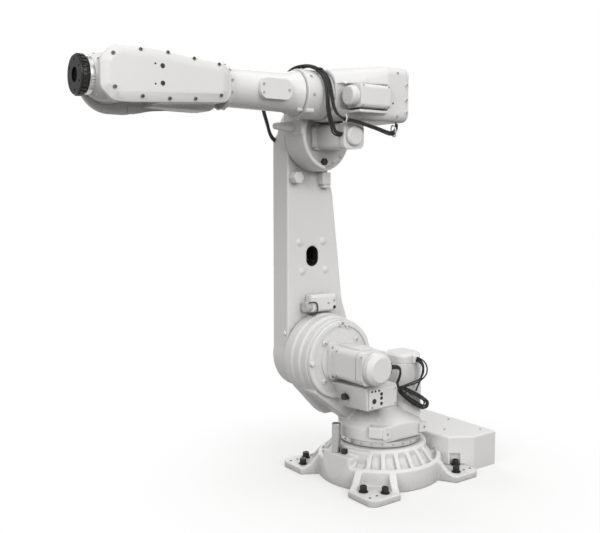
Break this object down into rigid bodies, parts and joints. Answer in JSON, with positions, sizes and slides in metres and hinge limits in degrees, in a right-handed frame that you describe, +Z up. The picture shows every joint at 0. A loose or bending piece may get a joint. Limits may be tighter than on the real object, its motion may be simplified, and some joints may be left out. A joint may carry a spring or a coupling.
{
  "type": "six-axis industrial robot arm",
  "caption": "White floor-mounted articulated robot arm: ribbed round base, turning frame, upright lower arm, level forearm and forked wrist with a black tool flange.",
  "frame": {"origin": "on axis 1 at floor level, centre of the anchor bolts", "axes": "+X forward along the forearm at rest, +Y to the robot's left, +Z up along axis 1"},
  "size_m": [2.363, 0.8, 2.2196],
  "materials": {
    "white_paint": "semi-matte cast texture",
    "steel_pin": "ground",
    "black_plug": "matt",
    "rubber": "matt",
    "black_flange": "black oxide",
    "bare_metal": "machined",
    "grey_panel": "satin",
    "cable": "matt jacket"
  },
  "bodies": {
    "base": {"base_casting": "white_paint", "connector_box": "white_paint", "connector_panel": "grey_panel", "stop_pin": "steel_pin", "base_plug": "black_plug"},
    "frame": {"turntable_ring": "white_paint", "frame_casting": "white_paint", "lifting_lugs": "white_paint", "axis2_gear_cover": "white_paint", "axis2_motor": "white_paint", "axis2_motor_cap": "white_paint", "axis2_connector": "white_paint", "axis1_connector": "white_paint", "axis1_motor": "white_paint", "axis1_motor_cap": "white_paint", "terminal_plate": "white_paint", "frame_oil_plug": "black_plug", "axis1_lead": "cable", "axis2_lead": "cable", "lead_hank": "cable", "hank_bracket": "white_paint"},
    "lower_arm": {"lower_arm_casting": "white_paint", "lower_stop_block": "white_paint", "lower_stop_bumper": "rubber", "upper_stop_block": "white_paint"},
    "upper_arm": {"elbow_casting": "white_paint", "axis3_gear_housing": "white_paint", "elbow_oil_plug": "black_plug", "axis3_motor": "white_paint", "axis3_motor_cap": "white_paint", "rear_housing": "white_paint", "rear_cover": "white_paint", "axis4_motor": "white_paint", "axis4_motor_cap": "white_paint", "axis3_lead": "cable", "axis4_lead": "cable", "lead_clamp": "white_paint"},
    "forearm": {"forearm_tube": "white_paint", "forearm_cover": "white_paint", "wrist_ring": "white_paint", "wrist_housing": "white_paint", "wrist_cover_left": "white_paint", "wrist_cover_right": "white_paint"},
    "tilt": {"tilt_housing": "white_paint", "tilt_ring": "bare_metal"},
    "flange": {"tool_flange": "black_flange"}
  },
  "joints": [
    {"name": "axis1_turn", "type": "hinge", "parent": "base", "child": "frame", "pos_m": [0, 0, 0.2], "axis": [0, 0, 1], "range_deg": [-170, 170]},
    {"name": "axis2_swing", "type": "hinge", "parent": "frame", "child": "lower_arm", "pos_m": [0.263, 0, 0.67], "axis": [0, 1, 0], "range_deg": [-65, 85]},
    {"name": "axis3_lift", "type": "hinge", "parent": "lower_arm", "child": "upper_arm", "pos_m": [0.3, 0, 1.875], "axis": [0, -1, 0], "range_deg": [-70, 180]},
    {"name": "axis4_roll", "type": "hinge", "parent": "upper_arm", "child": "forearm", "pos_m": [0.54, 0, 2.065], "axis": [1, 0, 0], "range_deg": [-200, 200]},
    {"name": "axis5_tilt", "type": "hinge", "parent": "forearm", "child": "tilt", "pos_m": [1.545, 0, 2.065], "axis": [0, -1, 0], "range_deg": [-120, 120]},
    {"name": "axis6_spin", "type": "hinge", "parent": "tilt", "child": "flange", "pos_m": [1.68, 0, 2.065], "axis": [1, 0, 0], "range_deg": [-360, 360]}
  ]
}
